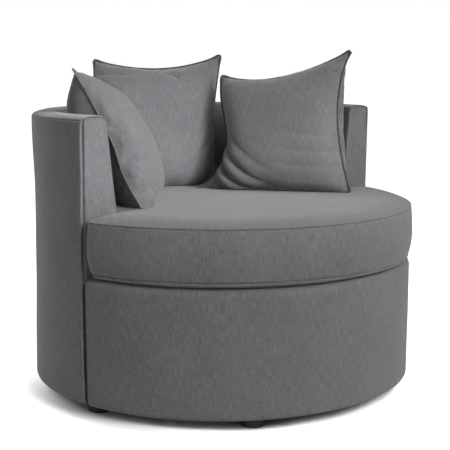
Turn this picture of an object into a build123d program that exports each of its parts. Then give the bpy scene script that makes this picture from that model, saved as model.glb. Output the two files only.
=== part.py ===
"""A round upholstered armchair: drum base, wrap-round back and arms, T-shaped seat cushion, loose pillows.

Origin at the centre of the round plan on the floor, +Z up, the front faces -Y. Sizes in millimetres.
"""

import os
from math import asin, atan2, cos, degrees, radians, sin, sqrt

from build123d import *

os.makedirs("parts", exist_ok=True)

# Driving dimensions of the chair
plan_radius = 480.0
back_height = 697.0
deck_height = 322.0
foot_height = 27.0
arm_front = 74.0
arm_top_thickness = 70.0
arm_seat_thickness = 96.0
seat_line = 467.0

# Thicknesses of the layers
cloth = 1.5
wadding = 6.0
skin = 3.0
post_depth = 30.0
post_width = 40.0
ply = 18.0
arm_board = 16.0
arm_pad = 5.0
top_pad = 10.0
deck_foam_thickness = 20.0
dust_cloth = 0.8

# Directions in plan, in degrees from +X
front_direction = -90.0
back_direction = 90.0

# Clearances
lay = 0.3
joint_gap = 0.2
screw_gap = 0.1

# Seams, hems and rounded edges of the covers
band_depth = 13.0
top_round = 10.0
deck_round = 12.0
base_round = 10.0
facing_recess = 1.5
turn_in = 50.0
under_cover = cloth + lay

# Radii of the back, from the outside inwards
cover_inner = plan_radius - cloth
wadding_outer = cover_inner - lay
wadding_inner = wadding_outer - wadding
skin_outer = wadding_inner - lay
skin_inner = skin_outer - skin
frame_outer = skin_inner - lay
post_outer = sqrt(frame_outer**2 - (post_width / 2) ** 2)
post_inner = post_outer - post_depth
post_middle = post_outer - post_depth / 2
lining_outer = post_inner - lay
lining_inner = lining_outer - skin
foam_outer = lining_inner - lay
inside_low = plan_radius - arm_seat_thickness
inside_top = plan_radius - arm_top_thickness
hem_inner = plan_radius - turn_in

# Heights, from the floor up
base_bottom = foot_height + under_cover
base_top = base_bottom + ply
deck_foam_top = deck_height - under_cover
deck_foam_bottom = deck_foam_top - deck_foam_thickness
band_bottom = back_height - band_depth
pad_top = back_height - under_cover
rail_top = pad_top - top_pad
rail_bottom = rail_top - ply

# Webbing under the deck: two sets of straps, woven over and under
strap_width = 60.0
strap_thickness = 2.0
strap_pitch = 100.0
straps_each_way = 5
strap_edge = 2.0
strap_ramp = 24.0
strap_end_gap = 1.0
strap_rise = (strap_thickness + lay) / 2
strap_reach = inside_low - strap_end_gap
strap_offsets = [(index - (straps_each_way - 1) / 2) * strap_pitch for index in range(straps_each_way)]

# Wooden frame
base_ring_width = 88.0
seat_ring_width = 118.0
back_post_count = 5
back_post_spread = 128.0
front_post_count = 5
front_post_spread = 128.0
cross_rail_spread = 300.0
cross_rail_width = 25.0
cross_rail_height = 40.0
cross_rail_end_gap = 8.0
seat_top = deck_foam_bottom - lay - strap_thickness - strap_rise
seat_bottom = seat_top - ply

# Planes of the arm fronts, from the front backwards
facing_face = -arm_front + facing_recess
facing_back = facing_face + cloth
arm_pad_face = facing_back + lay
arm_pad_back = arm_pad_face + arm_pad
board_face = arm_pad_back + lay
board_back = board_face + arm_board
front_end = -arm_front - lay

# Feet, at angles from the front
foot_radius = 29.0
foot_toe_radius = 27.5
foot_toe_round = 2.0
foot_inset = 62.0
foot_ring_radius = plan_radius - foot_inset
foot_angles = (-142.0, -83.0, -30.0, 30.0, 83.0, 142.0)
foot_screw_radius = 2.4
foot_screw_length = 31.0
foot_screw_head_radius = 5.0
foot_screw_head_height = 3.0
foot_recess_radius = 8.0
foot_recess_depth = 12.0
foot_spots = [
    (foot_ring_radius * sin(radians(angle)), -foot_ring_radius * cos(radians(angle))) for angle in foot_angles
]

# Seat cushion
cushion_overhang = 6.0
cushion_gap = 2.0
cushion_zip_room = 10.0
cushion_tip_round = 40.0
cushion_low_seam = 11.0
cushion_high_seam = 131.0
cushion_crown = 20.0
cushion_bulge = 7.0
cushion_edge = 14.0
cushion_bottom_inset = 22.0
cushion_wrap = 12.0
cushion_bottom = deck_height + lay
cushion_seam_low = deck_height + cushion_low_seam
cushion_seam_high = deck_height + cushion_high_seam
cushion_middle = (cushion_seam_low + cushion_seam_high) / 2
cushion_top = cushion_seam_high + cushion_crown
cushion_front = plan_radius + cushion_overhang
cushion_back = inside_low - cushion_zip_room
cushion_shoulder = -arm_front - cushion_gap

# Zip along the middle of the cushion's back border
zip_sweep = 104.0
zip_tape_height = 24.0
zip_tape = 1.0
zip_coil_height = 5.0
zip_coil = 1.5
slider_length = 10.0
slider_wall = 1.6
slider_gap = 0.3
zip_start = back_direction - zip_sweep / 2
zip_tape_inner = cushion_back + lay
zip_tape_outer = zip_tape_inner + zip_tape
zip_coil_outer = zip_tape_outer + zip_coil

# Pillows, cut to the round inside of the back and filled to a share of their size, with drawn-in edges
pillow_spare = 6.0
pillow_fullness = 0.36
pillow_draw = 34.0
pillow_foot_draw = 8.0
pillow_rim = 4.0
pillow_rim_thickness = 1.6
pillow_size = inside_low + pillow_spare
pillow_thickness = pillow_fullness * pillow_size

# Pillow places: direction faced from the front, lean, sideways shift as a share of the size, setback from the back
pillow_places = {
    "left": (45.0, 28.5, -0.21, 152.0),
    "middle": (-12.5, 24.5, 0.0, 139.0),
    "right": (-55.0, 31.0, 0.29, 152.0),
}

# Sections of a swelled pillow half: share of the rise, share of the outline, share of the drawing in
pillow_form = ((0.0, 1.0, 1.0), (0.35, 0.94, 0.75), (0.68, 0.8, 0.3), (0.9, 0.6, -0.3), (1.0, 0.34, -0.4))
filling_form = ((0.0, 0.98, 1.0), (0.68, 0.78, 0.3), (0.97, 0.4, -0.3))


def inside_line(gap, low, high):
    """Corners of the sloping inside face between two heights, moved outwards by a gap."""
    line = [(inside_low + gap, low), (inside_low + gap, seat_line)]
    if high > band_bottom:
        line.append((inside_top + gap, band_bottom))
    slope = (inside_top - inside_low) / (band_bottom - seat_line)
    line.append((min(inside_top, inside_low + slope * (high - seat_line)) + gap, high))
    return line


def turn_section(points, rounds=(), mode=Mode.ADD):
    """Turn a closed section of (radius, height) corners round the plan's centre, rounding the listed corners."""
    with BuildSketch(Plane.XZ) as section:
        with BuildLine():
            Polyline(*points, close=True)
        make_face()
        for corner, radius in rounds:
            fillet(section.vertices().sort_by_distance(Vector(*corner))[0], radius)
    revolve(section.sketch, axis=Axis.Z, mode=mode)


def turn_block(inner, outer, low, high, rounds=(), mode=Mode.ADD):
    """Turn a rectangular section round the plan's centre."""
    turn_section([(inner, low), (outer, low), (outer, high), (inner, high)], rounds, mode)


def turn_part_way(start, sweep, inner, outer, low, high, mode=Mode.ADD):
    """Turn a rectangular section part of the way round, from a start angle."""
    out = (cos(radians(start)), sin(radians(start)), 0)
    across = (sin(radians(start)), -cos(radians(start)), 0)
    with BuildSketch(Plane(origin=(0, 0, 0), x_dir=out, z_dir=across)) as section:
        with Locations(((inner + outer) / 2, (low + high) / 2)):
            Rectangle(outer - inner, high - low)
    revolve(section.sketch, axis=Axis.Z, revolution_arc=sweep, mode=mode)


def keep_behind(plane_y):
    """Keep what lies behind a plane across the chair."""
    split(bisect_by=Plane.XZ.offset(-plane_y), keep=Keep.BOTTOM)


def keep_ahead(plane_y):
    """Keep what lies ahead of a plane across the chair."""
    split(bisect_by=Plane.XZ.offset(-plane_y), keep=Keep.TOP)


def keep_side(side):
    """Keep the viewer's left or right half."""
    split(bisect_by=Plane.YZ, keep=Keep.TOP if side == "right" else Keep.BOTTOM)


def t_plan(height, front, back, shoulder, tip, scale=1.0):
    """T-shaped plan at a height: a wide round front ahead of the arms, a narrower round back between them."""
    tip_y = shoulder - tip
    tip_x = sqrt((front - tip) ** 2 - tip_y**2)
    reach = front / (front - tip)
    neck_x = sqrt(back**2 - shoulder**2)
    tip_turn = (radians(90) + atan2(tip_y, tip_x)) / 2
    back_turn = (radians(90) + asin(shoulder / back)) / 2
    bend_x = tip_x + tip * cos(tip_turn)
    bend_y = tip_y + tip * sin(tip_turn)
    arch_x = back * cos(back_turn)
    arch_y = back * sin(back_turn)

    def at(x, y):
        return (x * scale, shoulder + (y - shoulder) * scale)

    with BuildSketch(Plane.XY.offset(height)) as plan:
        with BuildLine():
            ThreePointArc(at(-tip_x * reach, tip_y * reach), at(0, -front), at(tip_x * reach, tip_y * reach))
            ThreePointArc(at(tip_x * reach, tip_y * reach), at(bend_x, bend_y), at(tip_x, shoulder))
            Line(at(tip_x, shoulder), at(neck_x, shoulder))
            ThreePointArc(at(neck_x, shoulder), at(arch_x, arch_y), at(0, back))
            ThreePointArc(at(0, back), at(-arch_x, arch_y), at(-neck_x, shoulder))
            Line(at(-neck_x, shoulder), at(-tip_x, shoulder))
            ThreePointArc(at(-tip_x, shoulder), at(-bend_x, bend_y), at(-tip_x * reach, tip_y * reach))
        make_face()
    return plan.sketch


def strap_side(offset_index, leads):
    """Side view of one strap: flat where it crosses the other set, over and under in turn."""
    half = strap_width / 2 + strap_edge
    middle = seat_top + strap_thickness / 2
    last = strap_offsets[-1] + half + strap_ramp
    line = [(-strap_reach, middle), (-last, middle)]
    for index, spot in enumerate(strap_offsets):
        over = (offset_index + index) % 2 == (0 if leads else 1)
        level = middle + (strap_rise if over else -strap_rise)
        line += [(spot - half, level), (spot + half, level)]
    line += [(last, middle), (strap_reach, middle)]
    upper = [(along, level + strap_thickness / 2) for along, level in line]
    lower = [(along, level - strap_thickness / 2) for along, level in reversed(line)]
    return upper + lower


def weave_straps(lengthwise):
    """One set of straps, trimmed round where they lie on the seat ring."""
    for index, spot in enumerate(strap_offsets):
        plane = Plane.YZ.offset(spot) if lengthwise else Plane.XZ.offset(-spot)
        with BuildSketch(plane) as side:
            with BuildLine():
                Polyline(*strap_side(index, lengthwise), close=True)
            make_face()
        extrude(side.sketch, amount=strap_width / 2, both=True)
    with BuildSketch(Plane.XY.offset(seat_top - strap_thickness)) as trim:
        Circle(strap_reach)
    extrude(trim.sketch, amount=4 * strap_thickness, mode=Mode.INTERSECT)


def cushion_plan(height, shrink, scale=1.0):
    """Plan of the seat cushion at a height, drawn in all round."""
    return t_plan(
        height,
        cushion_front - shrink,
        cushion_back - shrink,
        cushion_shoulder - shrink,
        cushion_tip_round - shrink,
        scale,
    )


def cushion_body(inset, mode=Mode.ADD):
    """Seat cushion from its flat bottom over the bulged border to the crown, drawn in all round by an inset."""
    levels = (
        (cushion_bottom + inset, cushion_bottom_inset, 1.0),
        (cushion_seam_low, cushion_bulge, 1.0),
        (cushion_middle, 0.0, 1.0),
        (cushion_seam_high, cushion_bulge, 1.0),
        (cushion_seam_high + 0.35 * cushion_crown - inset, cushion_edge, 1.0),
        (cushion_seam_high + 0.75 * cushion_crown - inset, cushion_edge, 0.97),
        (cushion_top - inset, cushion_edge, 0.88),
    )
    sections = [cushion_plan(height, draw + inset, scale) for height, draw, scale in levels]
    loft(sections, ruled=True, mode=mode)


def cushion_core(gap, mode=Mode.ADD):
    """Plain T-shaped block in the middle of the seat cushion."""
    shrink = cushion_bottom_inset + under_cover - gap
    low = cushion_bottom + under_cover + cushion_wrap - gap
    extrude(cushion_plan(low, shrink), amount=cushion_seam_high + gap - low, mode=mode)


def pillow_plane(name):
    """Plane of a pillow's seam: X along its lower edge, Y up its face, Z out of its front.

    The setback runs from the lower edge to where the pillow's far side would meet the inside of the back.
    """
    facing, lean, shift_share, setback = pillow_places[name]
    face = Vector(sin(radians(facing)), -cos(radians(facing)), 0)
    side = Vector(cos(radians(facing)), sin(radians(facing)), 0)
    upright = Vector(0, 0, 1)
    shift = shift_share * pillow_size
    far_side = abs(shift) + pillow_size / 2
    distance = sqrt(inside_top**2 - far_side**2) - setback
    stand = pillow_rim * cos(radians(lean)) + pillow_rim_thickness / 2 * sin(radians(lean))
    origin = side * shift - face * distance + upright * (cushion_top + lay + stand)
    normal = face * cos(radians(lean)) + upright * sin(radians(lean))
    return Plane(origin=origin, x_dir=side, z_dir=normal)


def pillow_outline(plane, half, draw):
    """Four-sided outline about the pillow's middle, its edges drawn in, the lower one less than the others."""
    foot_draw = draw * pillow_foot_draw / pillow_draw
    low = pillow_size / 2 - half
    high = pillow_size / 2 + half
    middle = pillow_size / 2
    with BuildSketch(plane) as outline:
        with BuildLine():
            ThreePointArc((-half, low), (0, low + foot_draw), (half, low))
            ThreePointArc((half, low), (half - draw, middle), (half, high))
            ThreePointArc((half, high), (0, high - draw), (-half, high))
            ThreePointArc((-half, high), (-half + draw, middle), (-half, low))
        make_face()
    return outline.sketch


def pillow_body(plane, form, inset, mode=Mode.ADD):
    """Both swelled halves of a pillow, drawn in all round by an inset."""
    rise = pillow_thickness / 2 - inset
    for side in (1, -1):
        sections = []
        for height, share, draw in form:
            level = plane.offset(side * rise * height)
            sections.append(pillow_outline(level, pillow_size / 2 * share - inset, pillow_draw * draw))
        loft(sections, ruled=True, mode=mode)


# Plywood base ring, bored for the foot screws
with BuildPart() as base_ring:
    turn_block(frame_outer - base_ring_width, frame_outer, base_bottom, base_top)
    with Locations(Plane.XY.offset(base_top)):
        with Locations(*foot_spots):
            Hole(foot_screw_radius + screw_gap, depth=ply)
base_ring.part.label = "base_ring"
export_step(base_ring.part, "parts/base_ring.step")

# Two rails across the base ring
rail_corner = (cross_rail_spread + cross_rail_width) / 2
cross_rail_length = 2 * sqrt((post_inner - cross_rail_end_gap) ** 2 - rail_corner**2)
with BuildPart(Plane.XY.offset(base_top)) as base_cross_rails:
    with GridLocations(cross_rail_spread, 0, 2, 1):
        Box(
            cross_rail_width,
            cross_rail_length,
            cross_rail_height,
            align=(Align.CENTER, Align.CENTER, Align.MIN),
        )
base_cross_rails.part.label = "base_cross_rails"
export_step(base_cross_rails.part, "parts/base_cross_rails.step")

# Short posts under the front of the seat ring
front_post_start = front_direction - front_post_spread / 2
with BuildPart(Plane.XY.offset(base_top)) as front_posts:
    with PolarLocations(post_middle, front_post_count, front_post_start, front_post_spread, endpoint=True):
        Box(post_depth, post_width, seat_bottom - base_top, align=(Align.CENTER, Align.CENTER, Align.MIN))
front_posts.part.label = "front_posts"
export_step(front_posts.part, "parts/front_posts.step")

# Tall posts of the back, from the base ring to the top rail
back_post_start = back_direction - back_post_spread / 2
with BuildPart(Plane.XY.offset(base_top)) as back_posts:
    with PolarLocations(post_middle, back_post_count, back_post_start, back_post_spread, endpoint=True):
        Box(post_depth, post_width, rail_bottom - base_top, align=(Align.CENTER, Align.CENTER, Align.MIN))
back_posts.part.label = "back_posts"
export_step(back_posts.part, "parts/back_posts.step")

# Plywood seat ring, notched for the tall posts and for the arm front boards
board_edge = sqrt((inside_low + under_cover) ** 2 - board_face**2) - joint_gap
board_slot = frame_outer - board_edge
with BuildPart() as seat_ring:
    turn_block(frame_outer - seat_ring_width, frame_outer, seat_bottom, seat_top)
    with BuildSketch(Plane.XY.offset(seat_bottom)):
        notch = post_inner - joint_gap
        with PolarLocations(notch, back_post_count, back_post_start, back_post_spread, endpoint=True):
            Rectangle(2 * post_depth, post_width + 2 * joint_gap, align=(Align.MIN, Align.CENTER))
        with GridLocations(2 * board_edge + board_slot, 0, 2, 1):
            with Locations((0, (board_face + board_back) / 2)):
                Rectangle(board_slot, arm_board + 2 * joint_gap)
    extrude(amount=ply, mode=Mode.SUBTRACT)
seat_ring.part.label = "seat_ring"
export_step(seat_ring.part, "parts/seat_ring.step")

# Plywood top rail over the back posts
with BuildPart() as top_rail:
    turn_block(post_inner, frame_outer, rail_bottom, rail_top)
    keep_behind(board_back)
top_rail.part.label = "top_rail"
export_step(top_rail.part, "parts/top_rail.step")

# Boards, pads and cloth facings of the arm fronts, cut to the section of the arm
board_section = inside_line(under_cover, base_top, rail_top) + [(frame_outer, rail_top), (frame_outer, base_top)]
facing_section = inside_line(under_cover, seat_top, pad_top) + [(wadding_outer, pad_top), (wadding_outer, seat_top)]
facing_round = top_round - under_cover
facing_rounds = (((inside_top + under_cover, pad_top), facing_round), ((wadding_outer, pad_top), facing_round))
for side in ("left", "right"):
    with BuildPart() as board:
        turn_section(board_section)
        keep_behind(board_face)
        keep_ahead(board_back)
        keep_side(side)
    board.part.label = "arm_board_" + side
    export_step(board.part, "parts/arm_board_" + side + ".step")

    with BuildPart() as pad:
        turn_section(facing_section, facing_rounds)
        keep_behind(arm_pad_face)
        keep_ahead(arm_pad_back)
        keep_side(side)
    pad.part.label = "arm_pad_" + side
    export_step(pad.part, "parts/arm_pad_" + side + ".step")

    with BuildPart() as facing:
        turn_section(facing_section, facing_rounds)
        keep_behind(facing_face)
        keep_ahead(facing_back)
        keep_side(side)
    facing.part.label = "arm_facing_" + side
    export_step(facing.part, "parts/arm_facing_" + side + ".step")

# Bent hardboard: outside of the back, inside of the back, front of the base
with BuildPart() as back_skin:
    turn_block(skin_inner, skin_outer, base_bottom, rail_top)
    keep_behind(board_face)
back_skin.part.label = "back_skin"
export_step(back_skin.part, "parts/back_skin.step")

with BuildPart() as back_lining:
    turn_block(lining_inner, lining_outer, seat_top, rail_top)
    keep_behind(board_back)
back_lining.part.label = "back_lining"
export_step(back_lining.part, "parts/back_lining.step")

with BuildPart() as front_skin:
    turn_block(skin_inner, skin_outer, base_bottom, deck_height - deck_round)
    keep_ahead(front_end)
front_skin.part.label = "front_skin"
export_step(front_skin.part, "parts/front_skin.step")

# Interlaced elastic webbing across the seat ring
with BuildPart() as webbing_lengthwise:
    weave_straps(True)
webbing_lengthwise.part.label = "webbing_lengthwise"
export_step(webbing_lengthwise.part, "parts/webbing_lengthwise.step")

with BuildPart() as webbing_crosswise:
    weave_straps(False)
webbing_crosswise.part.label = "webbing_crosswise"
export_step(webbing_crosswise.part, "parts/webbing_crosswise.step")

# Deck under the seat cushion: foam on the webbing, cloth over the foam
deck_tip = deck_round
with BuildPart() as deck_foam:
    foam_plan = t_plan(deck_foam_bottom, frame_outer, inside_low + cloth, front_end, deck_tip)
    extrude(foam_plan, amount=deck_foam_thickness)
deck_foam.part.label = "deck_foam"
export_step(deck_foam.part, "parts/deck_foam.step")

with BuildPart() as deck_cloth:
    cloth_plan = t_plan(deck_height - cloth, hem_inner - lay, inside_low - lay, front_end, deck_tip)
    extrude(cloth_plan, amount=cloth)
deck_cloth.part.label = "deck_cloth"
export_step(deck_cloth.part, "parts/deck_cloth.step")

# Foam of the back and arms, and the foam strip along their top
foam_section = inside_line(under_cover, seat_top, rail_top) + [(foam_outer, rail_top), (foam_outer, seat_top)]
with BuildPart() as back_foam:
    turn_section(foam_section)
    keep_behind(board_back + lay)
back_foam.part.label = "back_foam"
export_step(back_foam.part, "parts/back_foam.step")

strip_inner = inside_top + under_cover
strip_rounds = (((strip_inner, pad_top), facing_round), ((wadding_outer, pad_top), facing_round))
with BuildPart() as top_strip:
    turn_block(strip_inner, wadding_outer, rail_top, pad_top, strip_rounds)
    keep_behind(board_face)
top_strip.part.label = "top_strip"
export_step(top_strip.part, "parts/top_strip.step")

# Wadding over the hardboard
with BuildPart() as outer_wadding:
    turn_block(wadding_inner, wadding_outer, foot_height + base_round, rail_top)
    keep_behind(board_face)
outer_wadding.part.label = "outer_wadding"
export_step(outer_wadding.part, "parts/outer_wadding.step")

with BuildPart() as front_wadding:
    turn_block(wadding_inner, wadding_outer, foot_height + base_round, deck_height - deck_round)
    keep_ahead(front_end)
front_wadding.part.label = "front_wadding"
export_step(front_wadding.part, "parts/front_wadding.step")

# Outer cover of the back and arms, turned in under the base
with BuildPart() as outer_cover:
    outer_top = band_bottom - lay
    turn_block(
        hem_inner,
        plan_radius,
        foot_height,
        outer_top,
        (((plan_radius, foot_height), base_round),),
    )
    turn_block(
        hem_inner - lay,
        cover_inner,
        foot_height + cloth,
        back_height,
        (((cover_inner, foot_height + cloth), base_round - cloth),),
        Mode.SUBTRACT,
    )
    keep_behind(-arm_front)
outer_cover.part.label = "outer_cover"
export_step(outer_cover.part, "parts/outer_cover.step")

# Cover of the sloping inside face
with BuildPart() as inside_cover:
    inside_top_edge = band_bottom - lay
    near_line = inside_line(0, deck_height - cloth, inside_top_edge)
    far_line = inside_line(cloth, deck_height - cloth, inside_top_edge)
    turn_section(near_line + far_line[::-1])
    keep_behind(-arm_front)
inside_cover.part.label = "inside_cover"
export_step(inside_cover.part, "parts/inside_cover.step")

# Top band over the back and arms
with BuildPart() as top_band:
    turn_block(
        inside_top,
        plan_radius,
        band_bottom,
        back_height,
        (((inside_top, back_height), top_round), ((plan_radius, back_height), top_round)),
    )
    band_ceiling = back_height - cloth
    turn_block(
        inside_top + cloth,
        cover_inner,
        foot_height,
        band_ceiling,
        (((inside_top + cloth, band_ceiling), top_round - cloth), ((cover_inner, band_ceiling), top_round - cloth)),
        Mode.SUBTRACT,
    )
    keep_behind(-arm_front)
top_band.part.label = "top_band"
export_step(top_band.part, "parts/top_band.step")

# Front cover of the base, turned in under the base and over the deck's edge
with BuildPart() as front_cover:
    turn_block(
        hem_inner,
        plan_radius,
        foot_height,
        deck_height,
        (((plan_radius, foot_height), base_round), ((plan_radius, deck_height), deck_round)),
    )
    cover_floor = foot_height + cloth
    cover_ceiling = deck_height - cloth
    turn_block(
        hem_inner - lay,
        cover_inner,
        cover_floor,
        cover_ceiling,
        (((cover_inner, cover_floor), base_round - cloth), ((cover_inner, cover_ceiling), deck_round - cloth)),
        Mode.SUBTRACT,
    )
    keep_ahead(front_end)
front_cover.part.label = "front_cover"
export_step(front_cover.part, "parts/front_cover.step")

# Dust cover under the base, with holes for the foot screws
with BuildPart() as dust_cover:
    with BuildSketch(Plane.XY.offset(foot_height)):
        Circle(hem_inner - lay)
        with Locations(*foot_spots):
            Circle(foot_screw_radius + screw_gap, mode=Mode.SUBTRACT)
    extrude(amount=dust_cloth)
dust_cover.part.label = "dust_cover"
export_step(dust_cover.part, "parts/dust_cover.step")

# Feet: short tapered plastic cylinders with a recess for the screw
underside = Plane(origin=(0, 0, 0), x_dir=(1, 0, 0), z_dir=(0, 0, -1))
with BuildPart() as feet:
    with Locations(*foot_spots):
        Cone(foot_toe_radius, foot_radius, foot_height, align=(Align.CENTER, Align.CENTER, Align.MIN))
    fillet(feet.edges().group_by(Axis.Z)[0], foot_toe_round)
    with Locations(underside):
        with Locations(*[(x, -y) for x, y in foot_spots]):
            CounterBoreHole(foot_screw_radius + screw_gap, foot_recess_radius, foot_recess_depth, foot_height)
feet.part.label = "feet"
export_step(feet.part, "parts/feet.step")

# Foot screws, heads up against the floor of each recess
with BuildPart() as foot_screws:
    with Locations(Plane.XY.offset(foot_recess_depth)):
        with Locations(*foot_spots):
            Cylinder(
                foot_screw_head_radius,
                foot_screw_head_height,
                align=(Align.CENTER, Align.CENTER, Align.MAX),
            )
            Cylinder(foot_screw_radius, foot_screw_length, align=(Align.CENTER, Align.CENTER, Align.MIN))
foot_screws.part.label = "foot_screws"
export_step(foot_screws.part, "parts/foot_screws.step")

# Seat cushion: cover, fibre wrap and foam core
with BuildPart() as seat_cushion_cover:
    cushion_body(0)
    cushion_body(cloth, Mode.SUBTRACT)
seat_cushion_cover.part.label = "seat_cushion_cover"
export_step(seat_cushion_cover.part, "parts/seat_cushion_cover.step")

with BuildPart() as seat_cushion_wrap:
    cushion_body(under_cover)
    cushion_core(lay, Mode.SUBTRACT)
seat_cushion_wrap.part.label = "seat_cushion_wrap"
export_step(seat_cushion_wrap.part, "parts/seat_cushion_wrap.step")

with BuildPart() as seat_cushion_core:
    cushion_core(0)
seat_cushion_core.part.label = "seat_cushion_core"
export_step(seat_cushion_core.part, "parts/seat_cushion_core.step")

# Zip: tape and coil along the back border
with BuildPart() as seat_cushion_zip:
    turn_part_way(
        zip_start,
        zip_sweep,
        zip_tape_inner,
        zip_tape_outer,
        cushion_middle - zip_tape_height / 2,
        cushion_middle + zip_tape_height / 2,
    )
    turn_part_way(
        zip_start,
        zip_sweep,
        zip_tape_outer,
        zip_coil_outer,
        cushion_middle - zip_coil_height / 2,
        cushion_middle + zip_coil_height / 2,
    )
seat_cushion_zip.part.label = "seat_cushion_zip"
export_step(seat_cushion_zip.part, "parts/seat_cushion_zip.step")

# Zip slider without a pull tab, astride the coil at the closed end
slider_turn = degrees(slider_length / zip_coil_outer)
slider_half = zip_coil_height / 2 + slider_gap
with BuildPart() as zip_slider:
    turn_part_way(
        zip_start,
        slider_turn,
        zip_tape_outer + slider_gap,
        zip_coil_outer + slider_gap + slider_wall,
        cushion_middle - slider_half - slider_wall,
        cushion_middle + slider_half + slider_wall,
    )
    turn_part_way(
        zip_start,
        slider_turn,
        zip_tape_inner,
        zip_coil_outer + slider_gap,
        cushion_middle - slider_half,
        cushion_middle + slider_half,
        Mode.SUBTRACT,
    )
zip_slider.part.label = "zip_slider"
export_step(zip_slider.part, "parts/zip_slider.step")

# Loose pillows: cover with an overlocked rim, and a filling
for name in pillow_places:
    seam = pillow_plane(name)
    with BuildPart() as pillow_cover:
        pillow_body(seam, pillow_form, 0)
        rim_plan = pillow_outline(seam, pillow_size / 2 + pillow_rim, pillow_draw)
        extrude(rim_plan, amount=pillow_rim_thickness / 2, both=True)
        pillow_body(seam, filling_form, cloth, Mode.SUBTRACT)
    pillow_cover.part.label = "pillow_cover_" + name
    export_step(pillow_cover.part, "parts/pillow_cover_" + name + ".step")

    with BuildPart() as pillow_filling:
        pillow_body(seam, filling_form, under_cover)
    pillow_filling.part.label = "pillow_filling_" + name
    export_step(pillow_filling.part, "parts/pillow_filling_" + name + ".step")
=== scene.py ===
"""Looks of a round upholstered armchair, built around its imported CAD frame.

Metres in the frame's own axes: the front faces -Y and +Z is up.
"""

from math import asin, atan2, cos, pi, radians, sin, sqrt, tan

import bpy
import numpy as np
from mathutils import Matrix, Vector, kdtree, noise


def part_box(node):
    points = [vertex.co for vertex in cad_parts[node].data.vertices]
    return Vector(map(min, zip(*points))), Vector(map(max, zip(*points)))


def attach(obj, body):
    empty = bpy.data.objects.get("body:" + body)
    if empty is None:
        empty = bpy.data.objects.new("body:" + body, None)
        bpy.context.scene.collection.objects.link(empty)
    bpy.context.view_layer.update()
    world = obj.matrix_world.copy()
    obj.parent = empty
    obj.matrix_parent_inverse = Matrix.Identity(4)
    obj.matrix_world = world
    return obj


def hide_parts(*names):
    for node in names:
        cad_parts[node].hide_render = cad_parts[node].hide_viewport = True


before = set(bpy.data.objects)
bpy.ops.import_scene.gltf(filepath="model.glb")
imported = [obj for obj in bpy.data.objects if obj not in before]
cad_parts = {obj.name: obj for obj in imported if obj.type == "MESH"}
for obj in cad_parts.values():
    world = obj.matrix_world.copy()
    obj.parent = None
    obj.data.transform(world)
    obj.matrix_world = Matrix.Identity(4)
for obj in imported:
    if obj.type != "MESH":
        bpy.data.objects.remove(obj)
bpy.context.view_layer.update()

# Cloth thickness, and the height where the inside begins to slope
cloth = 0.0015
seat_line = 0.467

# Sizes read from the frame
outer_low, outer_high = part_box("outer_cover")
band_low, band_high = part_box("top_band")
inside_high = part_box("inside_cover")[1]
deck_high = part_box("deck_cloth")[1]
dust_low, dust_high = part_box("dust_cover")
cushion_low, cushion_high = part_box("seat_cushion_cover")
plan_radius = outer_high.x
arm_front = -outer_low.y
base_bottom = outer_low.z
deck_height = deck_high.z
band_bottom = band_low.z
back_height = band_high.z
seat_radius = deck_high.y
top_radius = inside_high.x - cloth
hem_radius = dust_high.x
skin_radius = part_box("back_skin")[1].x

# Soft forms of the covers
grid_step = 0.006
corner_steps = 13
slope_steps = 16
arc_steps = 60
even_shifts = (-2, -1, 0, 1, 2)
panel_thickness = 0.0045
edge_round = 0.0022
edge_segments = 3
edge_angle = 55
top_round = 0.011
top_slope = 0.032
base_round = 0.012
front_round = 0.006
deck_round = 0.015
seat_bend = 0.05
waist = 0.0045
side_bend = 0.5
front_swell = 0.004
flare = 0.002
fold_draw = 0.005
base_taper = 0.005
top_settle = 0.003
unevenness_size = 0.11
unevenness_depth = 0.0009
unevenness_shift = (7.3, 3.1, 5.7)
top_crown = 0.0015
joint_gap = 0.005
facing_gaps = {"left": joint_gap, "right": -0.0015}
facing_tuck = 0.003
facing_drop = 0.02
facing_puff = 0.002
facing_round = 0.0035
facing_return = 0.016
facing_columns = 64
facing_fade = 0.03
deck_rise = 0.0004
dust_sag = 0.002
dust_points = 180
sheet_rings = 40
sheet_start = 0.02
joint_depth = arm_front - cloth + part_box("arm_board_left")[0].y - cloth / 2
top_height = back_height - top_settle
band_rise = top_height - band_bottom

# Hollows along the panels' sides and seams: depth and width
no_hollow = (0, 1)
outer_sides = (0.0006, 0.012)
band_sides = (0.0006, 0.008)
band_outer_seam = (0.0022, 0.003)
band_inner_seam = (0.0008, 0.003)
inside_sides = (0.0006, 0.01)
front_sides = (0.0025, 0.006)

# Covers filled by simulation
cover_settings = {
    "quality": 6,
    "air_damping": 10,
    "bending_stiffness": 0.2,
    "tension_damping": 20,
    "compression_damping": 20,
    "shear_damping": 20,
}
compression_ease = 30
shear_ease = 6
tiny = 1e-9

# Seat cushion
cushion_low_seam = deck_height + 0.015
cushion_high_seam = deck_height + 0.133
cushion_tip = 0.03
cushion_belly = 0.45
cushion_swell = 0.004
cushion_low_bulge = 0.008
cushion_high_bulge = 0.003
cushion_turn = 0.016
seam_rise = 0.0025
panel_roll = 0.029
top_reach = 0.09
bottom_roll = (0.028, 0.01)
bottom_slope = 0.06
cushion_voxel = 0.014
cushion_pin = 0.012
cushion_soft_edge = 0.11
cushion_most_swell = 0.005
cushion_even_points = 60
ear_round = 0.005
ear_round_height = 0.06
ear_start = 0.36
ear_length = 0.1
seam_depth = 0.0032
seam_width = 0.0017
bulge_power = 2.2
border_rings = 70
groove_rings = 8
edge_rings = 24
edge_start = 0.1
middle_rings = 44
cushion_pressure = 3.0
cushion_frames = 20
cushion_stiffness = 20

# Pillows: direction faced from the front, and lean
pillow_turn = {"left": (45.0, 28.5), "middle": (-12.5, 24.5), "right": (-55.0, 31.0)}
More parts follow.
